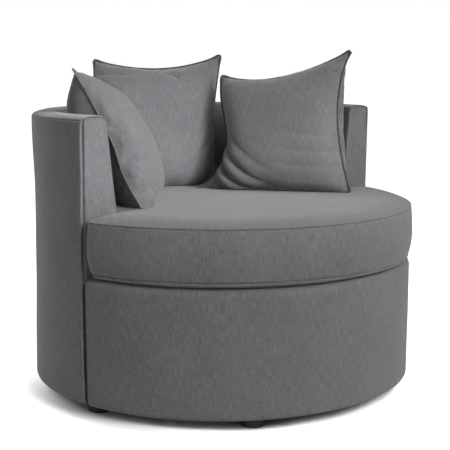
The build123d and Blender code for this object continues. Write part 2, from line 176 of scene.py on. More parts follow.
# Corners of each pillow (sideways, up, out): lower two, then upper two
pillow_corners = {
    "left": ((-0.206, -0.212, -0.01), (0.16, -0.18, -0.03), (-0.193, 0.17, 0.0), (0.165, 0.145, -0.02)),
    "middle": ((-0.23, -0.2, 0.0), (0.12, -0.195, -0.03), (-0.2, 0.178, 0.0), (0.193, 0.193, 0.0)),
    "right": ((-0.205, -0.201, 0.0), (0.202, -0.197, 0.0), (-0.188, 0.149, 0.0), (0.168, 0.232, 0.0)),
}
# Draw of the left, right, lower and upper edges at their middle, and how much more towards their end
edge_draws = {
    "left": ((0.03, 0.02), (0.03, 0.0), (0.0, 0.0), (0.034, 0.028)),
    "middle": ((-0.012, 0.0), (0.022, -0.012), (0.0, 0.0), (0.034, 0.0)),
    "right": ((0.044, -0.047), (0.034, 0.008), (0.0, 0.0), (0.042, -0.004)),
}
edge_backs = {"left": 0.012, "middle": 0.0, "right": 0.0}
pillow_fills = {"left": (1.0, 1.65), "middle": (1.0, 1.0), "right": (1.0, 1.0)}
pillow_edge_fills = {"left": 0.87, "middle": 1.0, "right": 1.0}
pillow_sags = {"left": 0.012, "middle": 0.045, "right": 0.045}
back_overhangs = {"left": 0.0, "middle": 0.0, "right": 0.024}
overhang_place = 0.12
# Folds of each pillow's face: middle across and up, turn, spacing, length, spread and depth
pillow_folds = {
    "left": ((-0.85, -0.25, 12.0, 0.42, 0.28, 0.8, 0.009),),
    "middle": (
        (0.8, -0.3, 30.0, 0.24, 0.35, 0.45, 0.005),
        (-0.7, 0.72, -8.0, 0.4, 0.3, 0.16, 0.009),
        (0.1, 0.72, -50.0, 0.4, 0.22, 0.14, 0.007),
    ),
    "right": ((-0.7, -0.62, -34.0, 0.24, 0.42, 0.36, 0.011), (0.55, -0.3, -15.0, 0.2, 0.4, 0.28, 0.004)),
}
pillow_quarter_turns = {"left": 1, "middle": 2, "right": 0}
pillow_size = 0.39
pillow_thickness = 0.146
pillow_cut = 0.43
pillow_volume = 0.0088
pillow_pressure = 30.0
pillow_frames = 24
pillow_stiffness = 60
pillow_rise = 0.05
filling_unevenness = 0.004
filling_unevenness_size = 0.05
pillow_grid = 48
pillow_fine = 121
pillow_spread = 0.6
even_passes = 10
edge_passes = 80
pillow_clear = 0.001
back_sag = 0.03
sag_top = 0.8
crease_power = 0.7
fold_fade = 8
pucker_size = 0.016
pucker_depth = 0.0045
pucker_length = 0.03
pucker_start = 0.005
pucker_stretch = 3.7
pucker_seed = 11
rim_width = 0.0055
rim_tuck = 0.2
rim_corner = 0.02
rim_corner_gain = 0.7
rim_thickness = 0.0022
rim_clear = 0.0005
rim_step = 0.004
rim_sides = 8
rim_weave = 0.012

# Camera and lights
camera_place = (-1.8239, -2.1806, 0.8296)
camera_turn = -39.91
camera_dip = 5.4227
camera_lens = 88.29
camera_sensor = 36.0
camera_shift = (0.0086, -0.1419)
floor_size = 60.0
floor_finish = {
    "Base Color": (0.55, 0.55, 0.55, 1),
    "Roughness": 0.9,
    "Specular IOR Level": 0.0,
    "Emission Color": (1, 1, 1, 1),
}
floor_glow = 1.0
# Painted floor shadow: reach and range of the ambient occlusion that dims the floor's glow under the chair,
# then reach, power and sideways start and end of the wider painted shadow on the left
floor_shade_reach = 0.07
floor_shade_range = (0.2, 0.32)
side_shade_reach = 0.055
side_shade_power = 3.0
side_shade_start = -0.34
side_shade_end = -0.48
world_fill = 0.2
chair_middle = (0, 0, 0.4)
# Place, target, size, power, and where they differ spread and height
lights = {
    "upper": ((0.1, -2.9, 2.4), (-0.3, -0.05, 0.66), 2.4, 14.0, 36),
    "accent": ((0.1, -3.0, 1.1), (-0.28, 0.0, 0.62), 1.0, 0.95, 10, 0.35),
    "arm": ((-1.5, -2.6, 1.0), (0.47, 0.0, 0.6), 0.25, 0.04, 7),
    "right": ((2.6, -2.2, 2.6), chair_middle, 2.5, 42),
    "left": ((-3.0, -1.5, 1.0), chair_middle, 1.6, 11),
    "overhead": ((0.2, 0.2, 3.2), chair_middle, 2.5, 3),
    "back": ((-0.8, 3.0, 2.4), chair_middle, 2.5, 55),
}

# Cloths: dark and light thread colour and thread pitch
thread_pitch = 0.0016
cloths = {
    "upholstery": ((0.075, 0.0727, 0.0762), (0.21, 0.2035, 0.213), thread_pitch),
    "overlock": ((0.03, 0.0293, 0.0305), (0.075, 0.073, 0.076), 0.0022),
    "deck": ((0.03, 0.03, 0.032), (0.06, 0.06, 0.063), thread_pitch),
    "dust": ((0.012, 0.012, 0.012), (0.03, 0.03, 0.03), thread_pitch),
}
# Streaks of a cloth, along each way of the weave, and what each gives to its colour and relief
upright_streaks = (420, 45, 1)
level_streaks = (60, 480, 1)
cloud_streaks = (9, 9, 1)
cloud_detail = 3.0
upright_share = 0.5
level_share = 0.32
cloud_share = 0.18
thread_share = 0.03
thread_relief = 0.3
upright_relief = 0.7
cloth_bump = (0.35, 0.0006)
cloth_finish = {
    "Roughness": 0.95,
    "Specular IOR Level": 0.08,
    "Sheen Weight": 0.25,
    "Sheen Roughness": 0.5,
    "Sheen Tint": (1.0, 0.96, 1.0, 1.0),
}

# Other finishes: dark and light colour, grain, roughness, relief, and where they differ metal and gloss
finishes = {
    "plywood": ((0.42, 0.27, 0.14), (0.66, 0.48, 0.29), (6, 6, 500), 0.7, 0.0004),
    "timber": ((0.45, 0.29, 0.15), (0.7, 0.52, 0.32), (90, 90, 5), 0.65, 0.0005),
    "hardboard": ((0.16, 0.09, 0.045), (0.3, 0.18, 0.1), (500, 500, 500), 0.8, 0.0003),
    "webbing": ((0.02, 0.02, 0.022), (0.07, 0.07, 0.075), (700, 700, 90), 0.85, 0.0005),
    "foam": ((0.6, 0.55, 0.42), (0.8, 0.76, 0.62), (900, 900, 900), 0.95, 0.0006),
    "foot_plastic": (
        (0.006, 0.006, 0.006), (0.014, 0.014, 0.014), (1200, 1200, 1200), 0.5, 0.0001, 0.0, 0.25
    ),
    "steel": ((0.5, 0.5, 0.5), (0.7, 0.7, 0.7), (300, 300, 2000), 0.35, 0.0001, 1.0),
    "zip_tape": ((0.03, 0.03, 0.032), (0.08, 0.08, 0.085), (900, 900, 1500), 0.8, 0.0003),
    # Near-black colour of the wadding seen in the joints: painted shade
    "painted_joint_shade": ((0.02, 0.02, 0.021), (0.05, 0.05, 0.052), (700, 700, 700), 0.95, 0.0005),
}
grain_detail = 4.0
grain_bump = 0.4
colour_ends = (0.25, 0.75)

weave_map = "Weave"
nodes_by_slot = {
    "plywood": ("base_ring", "seat_ring", "top_rail", "arm_board_left", "arm_board_right"),
    "timber": ("base_cross_rails", "front_posts", "back_posts"),
    "hardboard": ("back_skin", "back_lining", "front_skin"),
    "webbing": ("webbing_lengthwise", "webbing_crosswise"),
    "foam": ("deck_foam", "back_foam", "top_strip", "seat_cushion_core"),
    "foot_plastic": ("feet",),
    "steel": ("foot_screws", "zip_slider"),
    "zip_tape": ("seat_cushion_zip",),
}


def unit(vector):
    """The vector at length one."""
    return vector / np.linalg.norm(vector)


def unit_rows(vectors):
    """Each row of vectors at length one."""
    return vectors / np.linalg.norm(vectors, axis=1)[:, None]


def resample(points, step, closed=False, count=None):
    """The same line with evenly spaced points."""
    if closed:
        points = np.vstack([points, points[:1]])
    lengths = np.r_[0, np.cumsum(np.linalg.norm(np.diff(points, axis=0), axis=1))]
    count = count or max(2, round(lengths[-1] / step) + 1)
    spots = np.linspace(0, lengths[-1], count)
    line = np.column_stack([np.interp(spots, lengths, column) for column in points.T])
    return line[:-1] if closed else line


def directions(ring):
    """Way along a closed line at each of its points."""
    return unit_rows(np.roll(ring, -1, axis=0) - np.roll(ring, 1, axis=0))


def weave_grid(across, along):
    """Weave coordinates of a grid of points from those of its columns and rows."""
    return np.stack(np.broadcast_arrays(across[None, :], along), -1)


def rounded_line(corners, step=grid_step, count=None):
    """Evenly spaced points along a line of (x, y, radius) corners, each rounded to its radius."""
    points = []
    for index, (x, y, radius) in enumerate(corners):
        corner = np.array((x, y))
        if radius == 0:
            points.append(corner)
            continue
        back = unit(np.array(corners[index - 1][:2]) - corner)
        ahead = unit(np.array(corners[index + 1][:2]) - corner)
        half = np.arccos(np.dot(back, ahead)) / 2
        middle = corner + unit(back + ahead) * radius / sin(half)
        start = corner + back * radius / tan(half) - middle
        end = corner + ahead * radius / tan(half) - middle
        for share in np.linspace(0, 1, corner_steps):
            points.append(middle + unit(start * (1 - share) + end * share) * radius)
    return resample(np.array(points), step, count=count)


def smooth_step(values):
    """Values from 0 to 1 with a soft start and end."""
    values = np.clip(values, 0, 1)
    return values * values * (3 - 2 * values)


def dip(distance, depth, width):
    """Depth of a soft hollow at a distance from its middle."""
    return depth * np.exp(-((distance / width) ** 2))


def unevenness(points, size, seed):
    """Soft random height at each point, from -1 to 1."""
    shift = Vector(unevenness_shift) * seed
    heights = [noise.noise(Vector(point) / size + shift) for point in points.reshape(-1, 3)]
    return np.array(heights).reshape(points.shape[:-1])


def make_piece(name, points, faces, weave):
    """Piece from points, faces and a weave coordinate in metres for each point."""
    mesh = bpy.data.meshes.new(name)
    mesh.from_pydata(points.reshape(-1, 3).tolist(), [], faces)
    corners = np.empty(len(mesh.loops), np.int32)
    mesh.loops.foreach_get("vertex_index", corners)
    layer = mesh.uv_layers.new(name=weave_map)
    layer.data.foreach_set("uv", weave.reshape(-1, 2)[corners].astype(np.float32).ravel())
    mesh.shade_smooth()
    piece = bpy.data.objects.new(name, mesh)
    bpy.context.scene.collection.objects.link(piece)
    return piece


def grid_faces(rows, columns, wrap=False):
    """Faces of a grid of points, closed into a ring on request."""
    faces = []
    for row in range(rows - 1):
        for column in range(columns if wrap else columns - 1):
            after = (column + 1) % columns
            here = row * columns
            above = here + columns
            faces.append((here + column, here + after, above + after, above + column))
    return faces


def add_thickness(piece, thickness):
    """Give a sheet a thickness on its inner side."""
    solid = piece.modifiers.new("Thickness", "SOLIDIFY")
    solid.thickness = thickness
    solid.offset = -1


def thicken(piece, thickness):
    """Give a sheet a thickness on its inner side and rounded edges."""
    add_thickness(piece, thickness)
    bevel = piece.modifiers.new("Edges", "BEVEL")
    bevel.width = edge_round
    bevel.segments = edge_segments
    bevel.limit_method = "ANGLE"
    bevel.angle_limit = radians(edge_angle)


def dress(piece, body, slot, material, *replaced):
    """Give a piece its material and its body, and hide the nodes that it stands for; the slot is not used.
    """
    piece.data.materials.append(material)
    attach(piece, body)
    if replaced:
        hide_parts(*replaced)


def turned_panel(name, line, plane, ahead, seed, sides, low=no_hollow, high=no_hollow, lean=0):
    """Soft panel: (radius, height) points turned about the plan's centre, ahead of a plane or behind it.

    sides, low and high are the depth and width of the hollow along each edge; lean is how far each row of
    points stands out away from the sides.
    """
    radius, height = line.T
    edge = np.arcsin(plane / radius)
    start = pi + edge if ahead else -edge
    sweep = pi - 2 * edge if ahead else pi + 2 * edge
    columns = round(sweep.max() * radius.max() / grid_step)
    share = np.linspace(0, 1, columns)
    angle = start[:, None] + sweep[:, None] * share
    tangent = unit_rows(np.gradient(line, axis=0))
    along = np.arange(len(line)) * np.linalg.norm(line[1] - line[0])
    across = share * (sweep * radius).max()
    flat = np.stack([radius[:, None] * np.cos(angle), radius[:, None] * np.sin(angle)], -1)
    flat = np.dstack([flat, np.broadcast_to(height[:, None], angle.shape)])
    rise = unevenness_depth * unevenness(flat, unevenness_size, seed)
    rise += np.outer(lean * np.ones(len(line)), smooth_step(4 * np.minimum(share, 1 - share)))
    rise -= dip(np.minimum(across, across[-1] - across), *sides)[None, :]
    rise -= dip(along, *low)[:, None]
    rise -= dip(along[-1] - along, *high)[:, None]
    swelled = radius[:, None] + tangent[:, 1:] * rise
    raised = height[:, None] - tangent[:, :1] * rise
    points = np.stack([swelled * np.cos(angle), swelled * np.sin(angle), raised], -1)
    return make_piece(name, points, grid_faces(*angle.shape), weave_grid(across, along[:, None]))


def side_flare(height):
    """How far the round outside stands out towards its top seam."""
    return flare * smooth_step((height - side_bend) / (band_bottom - side_bend))


def side_waist(height):
    """How far the round outside is drawn in at a height, less near the floor and the top seam."""
    lift = smooth_step((height - side_bend) / (band_bottom - side_bend))
    fall = smooth_step(1 - (height - base_bottom) / (deck_height - base_bottom))
    return waist * (lift - 1 + fall / 2)


def inside_radius(height):
    """Radius of the sloping inside face at a height."""
    slope = (top_radius - seat_radius) / (band_bottom - seat_line)
    return seat_radius + slope * np.clip(height - seat_line, 0, band_bottom - seat_line)


def make_outer_panel(material):
    """Outside of the back and arms, from the hem under the base to the top seam."""
    line = rounded_line(
        (
            (hem_radius, base_bottom, 0),
            (plan_radius, base_bottom, base_round),
            (plan_radius, band_bottom, 0),
        )
    )
    height = line[:, 1]
    line[:, 0] += side_flare(height)
    lean = side_waist(height) * smooth_step((height - base_bottom) / base_round)
    climb = (height - base_bottom) / (band_bottom - base_bottom)
    edge = arm_front - fold_draw * np.sin(pi * climb)
    piece = turned_panel("back_outer_panel", line, edge, False, 1, outer_sides, lean=lean)
    thicken(piece, panel_thickness)
    dress(piece, "chair", "upholstery", material, "outer_cover")


def make_wadding(material):
    """Wadding under the outside, seen only deep in the joints beside the arm fronts and the base front; its
    near-black colour is painted shade in those joints.
    """
    heights = np.arange(base_bottom + cloth, band_bottom, grid_step)
    line = np.column_stack([np.full(len(heights), skin_radius + cloth / 2), heights])
    beside_base = heights < deck_height - deck_round
    reach = np.where(beside_base, arm_front + 4 * joint_gap, arm_front - 2 * joint_gap)
    piece = turned_panel("back_outer_wadding", line, reach, False, 8, no_hollow)
    thicken(piece, cloth / 2)
    dress(piece, "chair", "fibre", material, "outer_wadding")


def make_top_band(material):
    """Band over the top of the back and arms, tucked behind the outer and inner panels at its seams."""
    outside = plan_radius + flare
    turn = np.linspace(0, pi / 2, slope_steps)
    radius = outside - top_slope * (1 - np.cos(turn))
    slope = np.column_stack([radius, band_bottom + band_rise * np.sin(turn)])
    inner = rounded_line(
        (
            (outside - top_slope, top_height, 0),
            (top_radius, top_height, top_round),
            (top_radius, band_bottom - 2 * cloth, 0),
        )
    )
    line = resample(np.vstack([slope, inner[1:]]), grid_step / 2)
    share = np.linspace(0, 1, len(line))
    line[:, 1] += top_crown * np.sin(pi * share) ** 2
    seams = (band_outer_seam, band_inner_seam)
    piece = turned_panel("back_top_band", line, arm_front, False, 2, band_sides, *seams)
    thicken(piece, 2 * cloth)
    dress(piece, "chair", "upholstery", material, "top_band", "top_strip")


def make_inside_panel(material):
    """Sloping inside of the back and arms, from the top seam down to the deck."""
    line = rounded_line(
        (
            (top_radius, band_bottom + cloth, 0),
            (seat_radius, seat_line, seat_bend),
            (seat_radius, deck_height, 0),
        )
    )
    behind = arm_front - facing_return / 2
    piece = turned_panel("back_inside_panel", line, behind, False, 3, inside_sides)
    thicken(piece, cloth)
    dress(piece, "chair", "upholstery", material, "inside_cover")


def make_front_panel(material):
    """Front of the round base, from the hem underneath over the top edge to the deck."""
    line = rounded_line(
        (
            (hem_radius, base_bottom, 0),
            (plan_radius, base_bottom, front_round),
            (plan_radius, deck_height, deck_round),
            (hem_radius, deck_height, 0),
        )
    )
    radius, height = line.T
    share = (radius - hem_radius) / (plan_radius - hem_radius)
    on_top = (height > deck_height - cloth) & (radius < plan_radius - deck_round)
    edge = np.where(on_top, arm_front - 2 * joint_gap, arm_front + joint_gap)
    line[:, 0] -= share * base_taper * (1 - height / deck_height)
    upright = smooth_step((deck_height - height) / deck_round)
    upright *= smooth_step((height - base_bottom) / front_round)
    lean = front_swell * upright
    piece = turned_panel("base_front_panel", line, edge, True, 4, front_sides, lean=lean)
    thicken(piece, panel_thickness)
    dress(piece, "chair", "upholstery", material, "front_cover", "front_wadding")


def facing_rows(gap):
    """Outer and inner edge of an arm front at each height, narrowing under the band's rounded edges."""
    rows = np.arange(deck_height - facing_drop, top_height - cloth / 2, grid_step / 2)
    climb = np.clip((rows - band_bottom) / band_rise, 0, 1)
    outer = np.full(len(rows), sqrt((plan_radius - panel_thickness) ** 2 - arm_front**2) - gap)
    outer -= (top_slope - gap) * (1 - np.sqrt(1 - climb**2))
    inner = np.sqrt(inside_radius(rows) ** 2 - arm_front**2) - cloth / 3
    inner += top_round * (1 - np.sqrt(1 - climb**2))
    return rows, outer, inner


def make_facing(side, material):
    """Padded front of an arm: wrapped round the inside edge, turned back into a joint at the outside."""
    sign = -1 if side == "left" else 1
    gap = facing_gaps[side]
    rows, outer, inner = facing_rows(gap)
    points = []
    for height, far, near in zip(rows, outer, inner):
        section = rounded_line(
            (
                (near, facing_return, 0),
                (near, 0, facing_round),
                (far, 0, facing_round),
                (far, joint_depth, cloth / 2),
                (far + abs(gap) + side_flare(height) + cloth, joint_depth, 0),
            ),
            count=facing_columns,
        )
        edge = np.minimum(np.minimum(section[:, 0] - near, far - section[:, 0]), rows[-1] - height)
        puff = facing_puff * smooth_step(edge / facing_fade) * (section[:, 1] < facing_round)
        tuck = dip(rows[-1] - height, facing_tuck, grid_step)
        back = section[:, 1] - puff + tuck - arm_front + cloth
        points.append(np.column_stack([section[:, 0] * sign, back, np.full(facing_columns, height)]))
    points = np.array(points)
    points[..., 1] += unevenness_depth * unevenness(points, unevenness_size, 5)
    weave = np.stack([points[..., 0] - sign * points[..., 1], points[..., 2]], -1)
    if side == "left":
        points = points[:, ::-1]
        weave = weave[:, ::-1]
    piece = make_piece("arm_front_" + side, points, grid_faces(*points.shape[:2]), weave)
    thicken(piece, cloth)
    dress(piece, "chair", "upholstery", material, "arm_facing_" + side, "arm_pad_" + side)


def arc(middle_x, middle_y, radius, start, end):
    """Points along an arc in plan."""
    angle = np.linspace(start, end, arc_steps)
    return np.column_stack([middle_x + radius * np.cos(angle), middle_y + radius * np.sin(angle)])


def t_outline(front, back, shoulder, tip, step):
    """Plan of the seat: a wide round front ahead of the arms and a narrower round back between them."""
    tip_y = shoulder - tip
    tip_x = sqrt((front - tip) ** 2 - tip_y**2)
    tip_angle = atan2(tip_y, tip_x)
    neck_angle = asin(shoulder / back)
    outline = np.vstack(
        [
            arc(0, 0, front, -pi - tip_angle, tip_angle),
            arc(tip_x, tip_y, tip, tip_angle, pi / 2),
            arc(0, 0, back, neck_angle, pi - neck_angle),
            arc(-tip_x, tip_y, tip, pi / 2, pi - tip_angle),
        ]
    )
    outline = resample(outline, step, closed=True)
    return sum(np.roll(outline, shift, axis=0) for shift in even_shifts) / len(even_shifts)


def inset_outline(outline, inset):
    """A closed plan drawn in all round."""
    ahead = directions(outline)
    return outline - np.column_stack([ahead[:, 1], -ahead[:, 0]]) * inset


def scaled_sheet(name, outline, height, sag):
    """Thin sheet filling a plan, its middle sunk a little, or raised where the sag is negative."""
    shares = np.linspace(sheet_start, 1, sheet_rings)
    pivot = np.array((0, -arm_front))
    plan = pivot + (outline - pivot)[None, :] * shares[:, None, None]
    level = np.broadcast_to((height - sag * (1 - shares**2))[:, None], plan.shape[:2])
    points = np.dstack([plan, level])
    faces = grid_faces(*plan.shape[:2], wrap=True)
    faces.append(tuple(range(len(outline)))[::-1])
    faces = [face[::-1] for face in faces]
    return make_piece(name, points, faces, plan)


def make_deck(material):
    """Plain cloth under the seat cushion."""
    shoulder = -arm_front + joint_gap
    outline = t_outline(hem_radius + deck_round, seat_radius, shoulder, deck_round, 2 * grid_step)
    piece = scaled_sheet("seat_deck", outline, deck_height - cloth / 2, -deck_rise)
    add_thickness(piece, cloth / 2)
    dress(piece, "chair", "deck_cloth", material, "deck_cloth")


def make_dust_cover(material):
    """Thin black cloth closing the underside."""
    angle = np.linspace(0, 2 * pi, dust_points, endpoint=False)
    outline = np.column_stack([np.cos(angle), np.sin(angle)]) * hem_radius
    piece = scaled_sheet("base_dust_cover", outline, dust_low.z + cloth / 2, dust_sag)
    add_thickness(piece, cloth / 2)
    dress(piece, "chair", "dust_cloth", material, "dust_cover")


def read_points(mesh):
    """Points of a mesh as an array."""
    points = np.empty(len(mesh.vertices) * 3, np.float32)
    mesh.vertices.foreach_get("co", points)
    return points.reshape(-1, 3).astype(float)


def write_points(mesh, points):
    """Move the points of a mesh."""
    mesh.vertices.foreach_set("co", points.astype(np.float32).ravel())
    mesh.update()


def inflate(piece, pressure, frames, stiffness, pins=None, volume=None):
    """Fill a closed cover by a cloth simulation and keep the result."""
    modifier = piece.modifiers.new("Cloth", "CLOTH")
    settings = modifier.settings
    for key, value in cover_settings.items():
        setattr(settings, key, value)
    settings.tension_stiffness = stiffness
    settings.compression_stiffness = stiffness / compression_ease
    settings.shear_stiffness = stiffness / shear_ease
    settings.use_pressure = True
    settings.uniform_pressure_force = pressure
    settings.effector_weights.gravity = 0
    modifier.collision_settings.use_collision = False
    modifier.point_cache.frame_end = frames
    if volume:
        settings.use_pressure_volume = True
        settings.target_volume = volume
    if pins is not None:
        group = piece.vertex_groups.new(name="Held")
        group.add(np.flatnonzero(pins).tolist(), 1.0, "REPLACE")
        settings.vertex_group_mass = "Held"
    for number in range(1, frames + 1):
        bpy.context.scene.frame_set(number)
        filled = piece.evaluated_get(bpy.context.evaluated_depsgraph_get())
        points = read_points(filled.data)
    piece.modifiers.remove(modifier)
    bpy.context.scene.frame_set(1)
    return points


def ring_grid(rings, outline, upright):
    """Closed rings of plan points and heights as a grid of points, with the weave flat or upright."""
    points = np.array([np.column_stack([plan, np.full(len(plan), height)]) for plan, height in rings])
    points = np.concatenate([points, points[:, :1]], axis=1)
    if not upright:
        return points, points[..., :2]
    around = np.arange(len(outline) + 1) * np.linalg.norm(outline[1] - outline[0])
    return points, weave_grid(around, points[..., 2])


def top_rise(distance):
    """Rise of the top panel at a distance in from its seam."""
    open_share = 1 - np.clip(distance / top_reach, 0, 1)
    return (cushion_high.z - cushion_high_seam - seam_rise) * (1 - open_share**3)


def bottom_fall(distance):
    """Fall of the bottom panel at a distance in from its seam: a tight roll, then a gentle slope."""
    length, height = bottom_roll
    roll = height * sqrt(1 - np.clip(1 - distance / length, 0, 1) ** 2)
    rest = cushion_low_seam - cushion_low.z - seam_rise - height
    return roll + rest * smooth_step((distance - length) / bottom_slope)


def panel_rings(outline, seam, inset, way, form):
    """Rings of the top or bottom panel from the groove of its seam, over its edge, to its middle."""
    rings = []
    for share in np.linspace(0, 1, groove_rings):
        drawn = inset + seam_depth * (1 - smooth_step(share))
        rings.append((inset_outline(outline, drawn), seam + way * seam_rise * share))
    for turn in np.linspace(edge_start, pi / 2, edge_rings):
        distance = panel_roll * (1 - cos(turn))
        rings.append((inset_outline(outline, inset + distance), seam + way * (seam_rise + form(distance))))
    edge = rings[-1][0]
    pivot = np.array((0, -arm_front - cushion_tip))
    for share in np.linspace(sheet_start, 1, middle_rings):
        distance = panel_roll + share * seat_radius
        rings.append((pivot + (edge - pivot) * (1 - share), seam + way * (seam_rise + form(distance))))
    return rings


def cushion_grids(outline):
    """Bottom, border and top of the seat cushion as grids of points with their weave."""
    border = []
    for turn in np.linspace(0, pi, border_rings):
        share = (1 - cos(turn)) / 2
        height = cushion_low_seam + share * (cushion_high_seam - cushion_low_seam)
        nearest = min(height - cushion_low_seam, cushion_high_seam - height)
        low = max(0, 1 - share / cushion_belly)
        high = max(0, (share - cushion_belly) / (1 - cushion_belly))
        inset = cushion_low_bulge * low**bulge_power + cushion_high_bulge * high**bulge_power
        border.append((inset_outline(outline, inset + dip(nearest, seam_depth, seam_width)), height))
    top = panel_rings(outline, cushion_high_seam, cushion_high_bulge, 1, top_rise)
    bottom = panel_rings(outline, cushion_low_seam, cushion_low_bulge, -1, bottom_fall)
    parts = ((bottom[::-1], False), (border, True), (top, False))
    return [ring_grid(rings, outline, upright) for rings, upright in parts]


def make_cushion(material):
    """Seat cushion: a T-shaped filled cover with a seam above and below its border."""
    front = cushion_swell - cushion_low.y
    outline = t_outline(front, cushion_high.y, -arm_front - cloth, cushion_tip, grid_step)
    points = []
    weave = []
    faces = []
    for grid, cloth_place in cushion_grids(outline):
        first = sum(len(part) for part in points)
        points.append(grid.reshape(-1, 3))
        weave.append(cloth_place.reshape(-1, 2))
        faces += [tuple(first + corner for corner in face) for face in grid_faces(*grid.shape[:2])]
    points = round_ears(np.vstack(points))
    piece = make_piece("seat_cushion", points, faces, np.vstack(weave))
    write_points(piece.data, points + cushion_swelling(piece, outline))
    dress(piece, "seat_cushion", "upholstery", material, "seat_cushion_cover", "seat_cushion_wrap")


def round_ears(points):
    """Draw in the lower corners of the two ears ahead of the arms."""
    low = np.clip(1 - (points[:, 2] - cushion_low.z) / ear_round_height, 0, 1) ** 2
    out = smooth_step((abs(points[:, 0]) - ear_start) / ear_length)
    points[:, 0] -= np.sign(points[:, 0]) * ear_round * low * out
    return points


def cushion_swelling(piece, outline):
    """How far each point of the cushion moves when a coarse copy of it is filled with its seams held."""
    copy = bpy.data.objects.new("filling", piece.data.copy())
    bpy.context.scene.collection.objects.link(copy)
    copy.data.remesh_voxel_size = cushion_voxel
    with bpy.context.temp_override(object=copy, active_object=copy):
        bpy.ops.object.voxel_remesh()
    start = read_points(copy.data)
    inward = plan_distance(start, outline)
    height = start[:, 2]
    at_seam = np.minimum(abs(height - cushion_low_seam), abs(height - cushion_high_seam)) < cushion_pin
    level = (height > cushion_low_seam) & (height < cushion_high_seam)
    pins = (at_seam & (inward < 2 * cushion_turn)) | (~level & (inward > cushion_soft_edge))
    move = inflate(copy, cushion_pressure, cushion_frames, cushion_stiffness, pins) - start
    length = np.linalg.norm(move, axis=1)
    move *= np.minimum(1, cushion_most_swell / np.maximum(length, tiny))[:, None]
    tree = kdtree.KDTree(len(start))
    for index, point in enumerate(start):
        tree.insert(point, index)
    tree.balance()
    bpy.data.objects.remove(copy)
    moves = []
    for point in read_points(piece.data):
        near = [found[1] for found in tree.find_n(point, cushion_even_points)]
        moves.append(move[near].mean(axis=0))
    return np.array(moves)


def plan_distance(points, outline):
    """Distance in plan of each point from a closed outline."""
    tree = kdtree.KDTree(len(outline))
    for index, point in enumerate(outline):
        tree.insert((*point, 0), index)
    tree.balance()
    return np.array([tree.find((x, y, 0))[2] for x, y in points[:, :2]])


def pillow_index(count):
    """Point numbers of a pillow's front and back grids, which share their edges."""
    front = np.arange(count**2).reshape(count, count)
    back = front.copy()
    back[1:-1, 1:-1] = count**2 + np.arange((count - 2) ** 2).reshape(count - 2, count - 2)
    return front, back


def pillow_faces(count):
    """Faces of a pillow's front and back."""
    front, back = (index.ravel() for index in pillow_index(count))
    faces = grid_faces(count, count)
    return [tuple(front[list(face)])[::-1] for face in faces] + [tuple(back[list(face)]) for face in faces]


def join_sides(front, back):
    """Points of a pillow from its front and back grids."""
    return np.vstack([front.reshape(-1, 3), back[1:-1, 1:-1].reshape(-1, 3)])


def flat_grid(count):
    """Places across and up a flat pillow, from -1 to 1."""
    steps = np.linspace(-1, 1, count)
    return np.meshgrid(steps, steps, indexing="ij")


def pillow_axes(name):
    """Axes of a pillow: along its lower edge, up its face, out of its front."""
    facing, lean = (radians(angle) for angle in pillow_turn[name])
    side = np.array((cos(facing), sin(facing), 0))
    face = np.array((sin(facing), -cos(facing), 0))
    upright = np.array((0, 0, 1))
    return side, upright * cos(lean) - face * sin(lean), face * cos(lean) + upright * sin(lean)


def even_out(grid):
    """Smooth a grid of points: its edges strongly along their length, its inside a little."""
    for number in range(edge_passes):
        for edge in (grid[0], grid[-1], grid[:, 0], grid[:, -1]):
            edge[1:-1] = (edge[:-2] + 2 * edge[1:-1] + edge[2:]) / 4
        if number >= edge_passes - even_passes:
            level = (grid[:-2] + 2 * grid[1:-1] + grid[2:]) / 4
            grid[1:-1, 1:-1] = (level[:, :-2] + 2 * level[:, 1:-1] + level[:, 2:]) / 4
    return grid


def finer_weights(count, fine):
    """Weights that place more points along a smooth curve through the given ones."""
    spots = np.linspace(0, count - 1, fine)
    first = np.clip(spots.astype(int), 0, count - 2)
    t = spots - first
    shares = (
        (-t + 2 * t**2 - t**3) / 2,
        1 - 2.5 * t**2 + 1.5 * t**3,
        (t + 4 * t**2 - 3 * t**3) / 2,
        (t**3 - t**2) / 2,
    )
    weights = np.zeros((fine, count))
    for step, share in zip((-1, 0, 1, 2), shares):
        np.add.at(weights, (np.arange(fine), np.clip(first + step, 0, count - 1)), share)
    return weights


def fill_pillow():
    """Front and back of one filled pillow as fine grids of points, lying flat about its middle."""
    u, v = flat_grid(pillow_grid)
    rise = pillow_rise * pillow_cut * (1 - u**4) * (1 - v**4)
    sides = [np.stack([u * pillow_cut / 2, v * pillow_cut / 2, rise * side], -1) for side in (1, -1)]
    points = join_sides(*sides)
    uneven = unevenness(points, filling_unevenness_size, 7)
    points[:, 2] += filling_unevenness * np.sign(points[:, 2]) * uneven
    piece = make_piece("filling", points, pillow_faces(pillow_grid), points[:, :2])
    points = inflate(piece, pillow_pressure, pillow_frames, pillow_stiffness, volume=pillow_volume)
    bpy.data.objects.remove(piece)
    scale = np.array((pillow_size, pillow_size, pillow_thickness)) / np.ptp(points, axis=0)
    points = (points - (points.max(0) + points.min(0)) / 2) * scale
    weights = finer_weights(pillow_grid, pillow_fine)
    grids = [even_out(points[index]) for index in pillow_index(pillow_grid)]
    return [np.einsum("ia,abk,jb->ijk", weights, grid, weights) for grid in grids]


def fold_heights(name, u, v):
    """Height of the folds across a pillow's face."""
    height = np.zeros(u.shape)
    for across, up, turn, spacing, length, spread, depth in pillow_folds[name]:
        turn = radians(turn)
        along = (u - across) * cos(turn) + (v - up) * sin(turn)
        aside = (v - up) * cos(turn) - (u - across) * sin(turn)
        fade = np.exp(-((along / length) ** 2) - (aside / spread) ** 2)
        height += depth * fade * (2 * abs(np.sin(pi * aside / spacing)) ** crease_power - 1)
    return height


